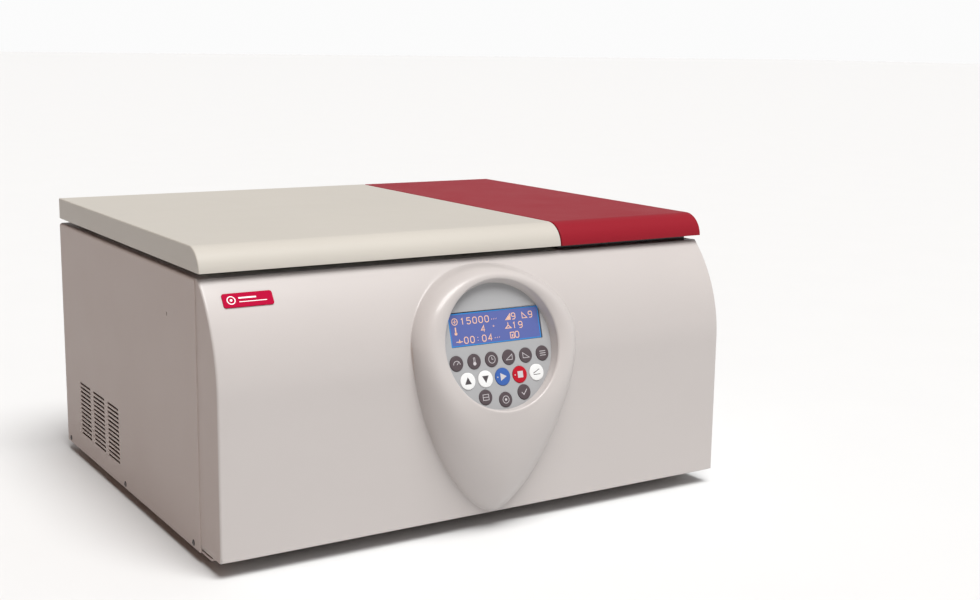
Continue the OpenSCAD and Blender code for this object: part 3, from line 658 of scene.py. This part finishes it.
def build_plinth():
    """The dark frame that fills the gap under the fixed cover."""
    x0, x1, y0, y1 = LID_SPLIT_X + 10, HALF_W - 10, LID_FRONT + 22, CABINET_D - 10
    wall, top = 2.5, LID_Z + 8
    skirt = []
    for inset in (0, wall):
        for z in (PANEL_H, top):
            skirt += [(x0 + inset, y0 + inset, z), (x1 - inset, y0 + inset, z),
                      (x1 - inset, y1 - inset, z), (x0 + inset, y1 - inset, z)]
    faces = []
    for i in range(4):
        j = (i + 1) % 4
        faces += [(i, j, 4 + j, 4 + i), (8 + i, 12 + i, 12 + j, 8 + j), (i, 8 + i, 8 + j, j),
                  (4 + i, 4 + j, 12 + j, 12 + i)]
    made = soften(add_mesh("fixed_cover_plinth", skirt, faces, "black_paint"), 0.5, 2)
    piece(made, "chassis", "black_paint")


# ---- Cabinet panels -------------------------------------------------------------------------------

SHEET = 2
BEND_R, BEND_CUTS, FLANGE_W = 4, 8, 15
VENT_COLUMNS = ((352.7, 400.5), (413.5, 464), (477, 525))
VENT_ROWS, VENT_PITCH, VENT_Z, VENT_H = 13, 6, 28.7, 3
SCREW_YS, SCREW_Z = (82, 332, 582), 6
RELEASE_Y, RELEASE_Z = 154, 264.5


def build_side_panel(side):
    """A sheet with vent slots, bent over at the top. side is -1 on the left, 1 on the right."""
    straight = PANEL_H - BEND_R
    bend = BEND_R * math.pi / 2
    flange = FLANGE_W - BEND_R
    outer = rounded_rect(FASCIA_D, 0, CABINET_D, straight + bend + flange, 1)
    holes = [rounded_rect(y0, VENT_Z + row * VENT_PITCH - VENT_H / 2,
                          y1, VENT_Z + row * VENT_PITCH + VENT_H / 2, 1.45)
             for y0, y1 in VENT_COLUMNS for row in range(VENT_ROWS)]
    if side < 0:
        half_w, half_h = 1.6, 2.5
        holes.append(rounded_rect(RELEASE_Y - half_w, RELEASE_Z - half_h,
                                  RELEASE_Y + half_w, RELEASE_Z + half_h, 1.5))
    mesh = plate_mesh("panel", outer, holes, SHEET, 0.35)
    cut = bmesh.new()
    cut.from_mesh(mesh)
    for i in range(BEND_CUTS + 1):
        everything = cut.verts[:] + cut.edges[:] + cut.faces[:]
        crease = (0, straight + bend * i / BEND_CUTS, 0)
        bmesh.ops.bisect_plane(cut, geom=everything, plane_co=crease, plane_no=(0, 1, 0))
    for vertex in cut.verts:
        y, along, depth = vertex.co
        over = (along - straight) / BEND_R
        reach = BEND_R + depth
        if over <= 0:
            x, z = HALF_W + depth, along
        elif over < math.pi / 2:
            x, z = HALF_W - BEND_R + reach * math.cos(over), straight + reach * math.sin(over)
        else:
            x, z = HALF_W - BEND_R - (along - straight - bend), straight + reach
        vertex.co = CABINET @ Vector((side * x, y, z))
    bmesh.ops.recalc_face_normals(cut, faces=cut.faces)
    cut.to_mesh(mesh)
    cut.free()
    name = "left_side_panel" if side < 0 else "right_side_panel"
    sheet = flatten_shading(add_object(name + "_sheet", mesh, "cabinet_paint"))
    piece(sheet, "chassis", "cabinet_paint", name)


INLET_X, INLET_Z, INLET_HALF_W, INLET_HALF_H = 290, 62, 27, 17
REAR_VENT_XS, REAR_VENT_Z, REAR_VENT_W, REAR_VENT_H = (130, 200), 120, 60, 4
REAR_VENT_ROWS, REAR_VENT_PITCH = 12, 12


def build_rear_panel():
    outer = rounded_rect(-HALF_W + SHEET, 0, HALF_W - SHEET, PANEL_H - SHEET, 1)
    holes = [rounded_rect(INLET_X - INLET_HALF_W, INLET_Z - INLET_HALF_H,
                          INLET_X + INLET_HALF_W, INLET_Z + INLET_HALF_H, 1)]
    for row in range(REAR_VENT_ROWS):
        z = REAR_VENT_Z + row * REAR_VENT_PITCH
        holes += [rounded_rect(x, z, x + REAR_VENT_W, z + REAR_VENT_H, 1.9) for x in REAR_VENT_XS]
    upright = Matrix(((1, 0, 0, 0), (0, 0, 1, 0), (0, 1, 0, 0), (0, 0, 0, 1)))
    place = CABINET @ Matrix.Translation((0, CABINET_D, 0)) @ upright
    mesh = plate_mesh("rear_panel_sheet", outer, holes, SHEET, 0.4)
    mesh.transform(place)
    mesh.flip_normals()
    sheet = flatten_shading(add_object("rear_panel_sheet", mesh, "cabinet_paint"))
    piece(sheet, "chassis", "cabinet_paint", "rear_panel")


SCREW_STEPS = 40
SCREW_RINGS = ((3.8, 0.0), (3.8, 0.35), (3.3, 0.75), (2.2, 0.98))
CROSS_TOP, CROSS_FLOOR = 0.97, 0.35
CROSS_ARM, CROSS_HALF = 1.9, 0.45


def cross_outline():
    arm, half = CROSS_ARM, CROSS_HALF
    return [(arm, -half), (arm, half), (half, half), (half, arm), (-half, arm), (-half, half),
            (-arm, half), (-arm, -half), (-half, -half), (-half, -arm), (half, -arm), (half, -half)]


def between(a, b):
    """The smaller angle between two directions."""
    return abs((a - b + math.pi) % (2 * math.pi) - math.pi)


def screw_mesh(side, y, base):
    """(points, faces) of one pan head with a cross recess, its points numbered from base."""
    steps, outline = SCREW_STEPS, cross_outline()
    points = [(side * (HALF_W + h), y + r * math.cos(a), SCREW_Z + r * math.sin(a))
              for r, h in SCREW_RINGS for a in (2 * math.pi * i / steps for i in range(steps))]
    points += [(side * (HALF_W + h), y + a, SCREW_Z + b)
               for h in (CROSS_TOP, CROSS_FLOOR) for a, b in outline]
    faces = []
    for k in range(len(SCREW_RINGS) - 1):
        for i in range(steps):
            j = (i + 1) % steps
            faces.append((k * steps + i, k * steps + j, (k + 1) * steps + j, (k + 1) * steps + i))
    top = (len(SCREW_RINGS) - 1) * steps
    cross = top + steps
    count = len(outline)
    faces.append(tuple(range(cross + count, cross + 2 * count)))
    faces += [(cross + i, cross + (i + 1) % count, cross + count + (i + 1) % count, cross + count + i)
              for i in range(count)]
    directions = [math.atan2(b, a) for a, b in outline]
    middles = [2 * math.pi * (i + 0.5) / steps for i in range(steps)]
    nearest = [cross + min(range(count), key=lambda n: between(directions[n], middle)) for middle in middles]
    for i in range(steps):
        j = (i + 1) % steps
        faces.append((top + i, top + j, nearest[i]))
        if nearest[i] != nearest[j]:
            faces.append((top + j, nearest[j], nearest[i]))
    faces.append(tuple(range(steps)))
    return points, [tuple(base + i for i in face) for face in faces]


def build_screws():
    """Pan-head screws along the foot of each side panel."""
    points, faces = [], []
    for side in (-1, 1):
        for y in SCREW_YS:
            head, head_faces = screw_mesh(side, y, len(points))
            points += head
            faces += head_faces
    heads = add_mesh("panel_screw_heads", points, faces, "dark_steel")
    piece(heads, "chassis", "dark_steel", "panel_screws")


# ---- Badge ----------------------------------------------------------------------------------------

BADGE_X, BADGE_Z, BADGE_W, BADGE_H, BADGE_T = -308, 296.5, 60, 17.5, 1.2
RING_X = -20


def build_badge():
    """A red enamel plate with a plain ring and bar in white."""
    lean = math.asin((BADGE_Z - CURVE_Z) / CURVE_R)
    place = (Matrix.Translation(cab(BADGE_X, face_y(BADGE_Z), BADGE_Z))
             @ Matrix.Rotation(math.radians(90) - lean, 4, "X") @ Matrix.Scale(MM, 4))
    outline = rounded_rect(-BADGE_W / 2, -BADGE_H / 2, BADGE_W / 2, BADGE_H / 2, 3)
    raised = place @ Matrix.Translation((0, 0, BADGE_T))
    enamel = plate("badge_enamel", outline, [], BADGE_T, 0.3, "badge_red", raised)
    piece(enamel, "chassis", "badge_red", "badge_plate")
    lines = [(disc_outline(RING_X, 0, 4.6, 40), 1.1, True),
             ([(-11, -2.6), (22, -2.6)], 0.9, False), ([(-11, 2.2), (10, 2.2)], 1.8, False)]
    marks = printed("badge_marks", lines, [disc_outline(RING_X, 0, 1.5, 24)], 0.1, "badge_white", raised)
    piece(marks, "chassis", "badge_red")


# ---- Key plate, display and keys --------------------------------------------------------------------

KEY_R, BIG_KEY_R, START_KEY_R, KEY_PITCH = 9.25, 10.4, 10.8, 24.8
KEY_PROUD, KEY_GAP = 1.0, 0.22
PLATE_T, PLATE_GAP = 2.5, 0.15
LCD_LOW, LCD_W, LCD_H = 4.1, 130, 40.5
TOP_V, MID_V, LOW_V, LOW_U = -15.3, -37.8, (-59.8, -65.8, -59.8), 27.8
KEYS = (
    [(f"key_top_{i + 1}", (i - 2.5) * KEY_PITCH, TOP_V, KEY_R, "key_dark") for i in range(6)]
    + [(name, (i - 2) * KEY_PITCH, MID_V, START_KEY_R if name == "key_start" else BIG_KEY_R, finish)
       for i, (name, finish) in enumerate((("key_up", "key_white"), ("key_down", "key_white"),
                                           ("key_start", "key_blue"), ("key_stop", "key_red"),
                                           ("key_door", "key_white")))]
    + [(f"key_low_{i + 1}", (i - 1) * LOW_U, LOW_V[i], KEY_R, "key_dark") for i in range(3)]
)

# Each key's mark: lines as (points, width, closed), and filled outlines
KEY_MARKS = {
    "key_top_1": ([(arc(0, -1.5, 4.6, 0, 180, 12), 0.7, False), ([(0, -1.5), (2.6, 1.4)], 0.7, False)], []),
    "key_top_2": ([([(-0.9, -0.9), (-0.9, 4.5), (0.9, 4.5), (0.9, -0.9)], 0.6, False)],
                  [disc_outline(0, -2.6, 2.2, 20)]),
    "key_top_3": ([(disc_outline(0, 0, 4.6, 28), 0.7, True), ([(0, 3), (0, 0), (2.2, 0)], 0.7, False)], []),
    "key_top_4": ([([(-4.5, -3), (4.5, -3), (4.5, 3.4)], 0.7, True)], []),
    "key_top_5": ([([(-4.5, 3.4), (-4.5, -3), (4.5, -3)], 0.7, True)], []),
    "key_top_6": ([([(-4.2, y), (4.2, y)], 0.8, False) for y in (-2.6, 0, 2.6)], []),
    "key_up": ([], [[(-4.6, -3.8), (4.6, -3.8), (0, 4.8)]]),
    "key_down": ([], [[(-4.6, 3.8), (0, -4.8), (4.6, 3.8)]]),
    "key_start": ([], [[(-3.4, -4.8), (5.4, 0), (-3.4, 4.8)]]),
    "key_stop": ([], [[(-3.2, -4), (4.4, -4), (4.4, 4), (-3.2, 4)]]),
    "key_door": ([([(-5, -2.6), (5, -2.6)], 0.8, False), ([(-5, -0.9), (4.2, 3.6)], 0.8, False)], []),
    "key_low_1": ([([(-4, -3.4), (4, -3.4), (4, 3.4), (-4, 3.4)], 0.7, True),
                   ([(-4, 0), (4, 0)], 0.7, False)], []),
    "key_low_2": ([(disc_outline(0, 0, 4.4, 28), 0.7, True)], [disc_outline(0, 0, 1.6, 20)]),
    "key_low_3": ([([(-3.8, 0), (-1, -3), (4, 3.4)], 0.9, False)], []),
}


def build_keys():
    for name, u, v, r, finish in KEYS:
        place = KEY_PLATE @ Matrix.Translation((u, v, 0))
        top = KEY_PROUD
        profile = [(0, -4), (r + 0.7, -4), (r + 0.7, -2.8), (r, -2.8), (r, top - 0.55)]
        profile += [(r - 0.35, top - 0.18), (r - 0.9, top - 0.04), (r * 0.6, top - 0.02), (0, top)]
        cap = lathe(name + "_cap", profile, finish, place, 64, closed=False, smooth_deg=32)
        piece(cap, name, finish, name)
        ink = "print_dark" if finish == "key_white" else "print_light"
        lines, fills = KEY_MARKS[name]
        marks = printed(name + "_mark", lines, fills, 0.08, ink, place @ Matrix.Translation((0, 0, top)))
        piece(marks, name, finish)
        if name in ("key_start", "key_stop"):
            lamp_place = place @ Matrix.Translation((-r + 3.3, 0, top - 0.05))
            dome = [(0, 0), (0.9, 0), (0.8, 0.3), (0.45, 0.5), (0, 0.55)]
            lamp = lathe(name + "_lamp", dome, "print_light", lamp_place, 24, closed=False)
            piece(lamp, name, finish)


def build_key_plate():
    window = rounded_rect(-LCD_W / 2 - 0.3, LCD_LOW - 0.3, LCD_W / 2 + 1.1, LCD_LOW + LCD_H + 0.9, 0.6)
    holes = [window] + [disc_outline(u, v, r + KEY_GAP, 64) for _, u, v, r, _ in KEYS]
    outline = disc_outline(0, 0, OPEN_R - PLATE_GAP, 160)
    made = plate("key_plate_face", outline, holes, PLATE_T, 0.18, "panel_grey", KEY_PLATE)
    piece(made, "chassis", "panel_grey", "keypad_plate")


# Digits as lines on a grid 4 wide and 6 high, with cut corners
GLYPHS = {
    "0": [([(1, 0), (3, 0), (4, 1.2), (4, 4.8), (3, 6), (1, 6), (0, 4.8), (0, 1.2)], True)],
    "1": [([(0.8, 4.8), (2, 6), (2, 0)], False)],
    "4": [([(3, 0), (3, 6), (0, 1.8), (4, 1.8)], False)],
    "5": [([(3.8, 6), (0.4, 6), (0.2, 3.4), (2.8, 3.6), (4, 2.6), (4, 1.2), (3, 0), (1, 0), (0, 1)],
           False)],
    "9": [([(4, 3.2), (3, 2.6), (1, 2.6), (0, 3.6), (0, 5), (1, 6), (3, 6), (4, 5), (4, 1.2), (3, 0),
            (0.6, 0)], False)],
    ":": [([(2, 1.2), (2, 1.9)], False), ([(2, 4.1), (2, 4.8)], False)],
}
DIGIT_H, DIGIT_STEP = 7.4, 8.6
DIGIT_STROKE, DIGIT_WIDER = 1.05, 1.05


def digits(text, x, y, step=DIGIT_STEP, high=DIGIT_H):
    """Lines of a number whose first digit's lower left corner is at x, y."""
    unit = high / 6
    lines = []
    for i, mark in enumerate(text):
        for points, closed in GLYPHS[mark]:
            line = [(x + i * step + px * unit * DIGIT_WIDER, y + py * unit) for px, py in points]
            lines.append((line, DIGIT_STROKE, closed))
    return lines


LCD_HIGH = LCD_LOW + LCD_H
ROW_1, ROW_2, ROW_3 = LCD_LOW + 26.6, LCD_LOW + 15.2, LCD_LOW + 3.6


def display_lines():
    """The three rows of figures, with the symbols beside them that are drawn as lines."""
    lines = (digits("15000", -48, ROW_1) + digits("9", 25, ROW_1) + digits("9", 50, ROW_1)
             + digits("4", -20.5, ROW_2) + digits("19", 25, ROW_2, 8.8)
             + digits("00", -46, ROW_3) + digits(":", -29.5, ROW_3) + digits("04", -20.5, ROW_3)
             + digits("0", 27, ROW_3))
    wheel = [(disc_outline(-56.5, ROW_1 + 4, 3.9, 24), 1.0, True),
             ([(-59, ROW_1 + 4), (-54, ROW_1 + 4)], 0.9, False),
             ([(-56.5, ROW_1 + 1.6), (-56.5, ROW_1 + 6.4)], 0.9, False)]
    thermometer = [([(-56.5, ROW_2 + 1), (-56.5, ROW_2 + 8.6)], 1.7, False)]
    timer = [([(-57.5, ROW_3 + 2.5), (-48.5, ROW_3 + 2.5)], 1.0, False)]
    ramps = [([(16, ROW_1), (23, ROW_1), (23, ROW_1 + 7)], 0.9, True),
             ([(40.5, ROW_1 + 7), (40.5, ROW_1), (47.5, ROW_1)], 0.9, True)]
    rotor = [([(18.5, ROW_2 + 4.6), (14.5, ROW_2 + 1), (22.5, ROW_2 + 1)], 1.1, True),
             ([(18.5, ROW_2 + 4.6), (18.5, ROW_2 + 8)], 1.1, False)]
    programme = [([(20, ROW_3), (25.4, ROW_3), (25.4, ROW_3 + 7), (20, ROW_3 + 7)], 1.0, True)]
    units = [([(x + i * 3.1, y + 2.2), (x + i * 3.1 + 1.3, y + 3.4)], 0.55, False)
             for x, y in ((-4.5, ROW_1), (-3, ROW_3)) for i in range(3)]
    degree = [(disc_outline(-2.5, ROW_2 + 5.6, 0.8, 12), 0.5, True)]
    return lines + wheel + thermometer + timer + ramps + rotor + programme + units + degree


def display_fills():
    """The solid shapes of the display's symbols."""
    return [disc_outline(-56.5, ROW_2 + 1, 1.9, 20),
            [(-54.5, ROW_3 + 1.2), (-51, ROW_3 + 1.2), (-52.7, ROW_3 + 6)],
            [(17.6, ROW_1 + 0.7), (22.3, ROW_1 + 0.7), (22.3, ROW_1 + 5.2)],
            [(22, ROW_3 + 1.5), (23.6, ROW_3 + 1.5), (23.6, ROW_3 + 4.5), (22, ROW_3 + 4.5)]]


def on_plate(height):
    return KEY_PLATE @ Matrix.Translation((0, 0, height))


def build_display():
    """Glass behind the window, its bright border, the board behind it and the figures on it."""
    half = LCD_W / 2
    glass = plate("display_glass", rounded_rect(-half, LCD_LOW, half, LCD_HIGH, 0.5), [], 1.5, 0.15,
                  "lcd_blue", on_plate(-1.0))
    piece(glass, "chassis", "lcd_blue", "lcd_module")
    edge, width = 0.3, 1.6
    outline = rounded_rect(-half + edge, LCD_LOW + edge, half - edge, LCD_HIGH - edge, 0.4)
    inside = rounded_rect(-half + width, LCD_LOW + width, half - width, LCD_HIGH - width, 0.3)
    border = plate("display_border", outline, [inside], 0.12, 0.02, "lcd_border", on_plate(-0.9))
    piece(border, "chassis", "lcd_blue")
    carrier = plate("display_board", rounded_rect(-half, LCD_LOW - 3, half, LCD_HIGH + 0.4, 1), [], 5.2, 0.3,
                    "circuit_board", on_plate(-2.6))
    piece(carrier, "chassis", "lcd_blue")
    ink = printed("display_digits", display_lines(), display_fills(), 0.05, "lcd_ink", on_plate(-1.0))
    piece(ink, "chassis", "lcd_blue")


# ---- Feet, seal, coil and rotor ---------------------------------------------------------------------

FOOT_XS, FOOT_YS = (-310, 310), (95, 545)
CHAMBER = (-117, 365)
BOWL_R = 160
COIL_TURNS, COIL_PITCH, COIL_Z, COIL_TUBE_R, COIL_GAP = 8.6, 14, 178, 3.4, 5.4
ROTOR_TOP = 290


def build_feet():
    profile = [(0, -14), (16, -14), (17.6, -13), (18.1, -11), (17.7, -9.6), (17.7, -8.6), (18.6, -7.4),
               (19.4, -3), (19.6, -1), (19, 0), (3.2, 0), (3.2, 8), (0, 8)]
    for i, (x, y) in enumerate((x, y) for x in FOOT_XS for y in FOOT_YS):
        place = CABINET @ Matrix.Translation((x, y, 0))
        foot = lathe(f"rubber_foot_{i + 1}", profile, "black_rubber", place, 64, closed=False)
        piece(foot, "chassis", "black_rubber")
    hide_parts("rubber_feet")


def at_spindle(z=0.0):
    return CABINET @ Matrix.Translation((CHAMBER[0], CHAMBER[1], z))


def build_seal():
    """A soft lip seal round the chamber's mouth."""
    low, top = PANEL_H + 1.2, LID_Z + 0.1
    profile = [(BOWL_R + 4, low), (BOWL_R + 13.5, low), (BOWL_R + 13.5, low + 2), (BOWL_R + 12, low + 3.4),
               (BOWL_R + 11.4, top - 0.8), (BOWL_R + 10.2, top), (BOWL_R + 8.2, top), (BOWL_R + 7, top - 0.9),
               (BOWL_R + 6.2, low + 3), (BOWL_R + 4, low + 2.2)]
    seal = lathe("chamber_seal", profile, "grey_rubber", at_spindle(), 160)
    piece(seal, "chassis", "grey_rubber", "chamber_gasket")


def tube_along(name, path, r, material_name):
    """A tube swept along a path of points in cabinet coordinates."""
    curve = bpy.data.curves.new(name, "CURVE")
    curve.dimensions = "3D"
    curve.bevel_depth = r * MM
    curve.bevel_resolution = 2
    curve.use_fill_caps = True
    spline = curve.splines.new("POLY")
    spline.points.add(len(path) - 1)
    for point, at in zip(spline.points, path):
        point.co = (*cab(*at), 1)
    holder = bpy.data.objects.new(name, curve)
    bpy.context.scene.collection.objects.link(holder)
    bpy.context.view_layer.update()
    mesh = bpy.data.meshes.new_from_object(holder.evaluated_get(bpy.context.evaluated_depsgraph_get()))
    bpy.data.objects.remove(holder)
    return add_object(name, mesh, material_name)


def build_coil():
    """The evaporator's winding, one continuous helix."""
    turns, steps, r = COIL_TURNS, 96, BOWL_R + COIL_GAP
    path = []
    for i in range(int(turns * steps) + 1):
        angle = 2 * math.pi * i / steps
        path.append((CHAMBER[0] + r * math.cos(angle), CHAMBER[1] + r * math.sin(angle),
                     COIL_Z + COIL_PITCH * i / steps))
    coil = tube_along("evaporator_winding", path, COIL_TUBE_R, "copper")
    piece(coil, "chassis", "copper", "evaporator_coil")


def build_knob():
    """The rotor's clamp knob, with six finger flutes."""
    def fluted(angle, height):
        grip = 1 - 0.13 * max(0.0, math.cos(6 * angle + math.pi)) ** 2
        return grip if height > 5.5 else 1.0

    profile = [(0, 8.2), (8.1, 8.2), (8.1, 0), (24.6, 0), (26, 0.8), (26, 4.2), (25, 5), (23, 5.2),
               (25.2, 6.2), (25.4, 19), (24.4, 21.2), (21, 22), (12, 22), (10.5, 20.5), (0, 20.2)]
    knob = lathe("rotor_clamp_knob", profile, "black_anodised", at_spindle(ROTOR_TOP), 144, closed=False,
                 radius_at=fluted)
    piece(knob, "rotor", "black_anodised", "rotor_knob")


# ---- Everything -----------------------------------------------------------------------------------

# Finishes laid over some nodes' slots. The top deck takes the lid paint. The base pan takes the darker
# cabinet paint in place of zinc: partly a painted pan, partly painted shade, so its edge under the fascia
# stays dark.
PAINTS_AND_PAINTED_SHADE = {"base_pan": "cabinet_paint", "top_deck": "lid_paint"}


def paint_frame():
    """Every CAD node that stays gets its slot's finish, or the paint laid over it, which for the base pan is
    partly painted shade.
    """
    slots = {part["node"]: part["material_slot"] for part in frame["record"]["subparts"]} | PAINTS_AND_PAINTED_SHADE
    for name, node in frame["nodes"].items():
        node.data.materials.clear()
        node.data.materials.append(material(slots[name]))


def build_floor():
    points = [(-60, -60, 0), (60, -60, 0), (60, 60, 0), (-60, 60, 0)]
    floor = add_mesh("studio_floor", points, [(0, 1, 2, 3)], "floor", Matrix.Identity(4), outward=False)


add_camera()
add_lights()
build_floor()
paint_frame()
build_fascia()
build_lids()
build_plinth()
build_side_panel(-1)
build_side_panel(1)
build_rear_panel()
build_screws()
build_badge()
build_key_plate()
build_display()
build_keys()
build_feet()
build_seal()
build_coil()
build_knob()
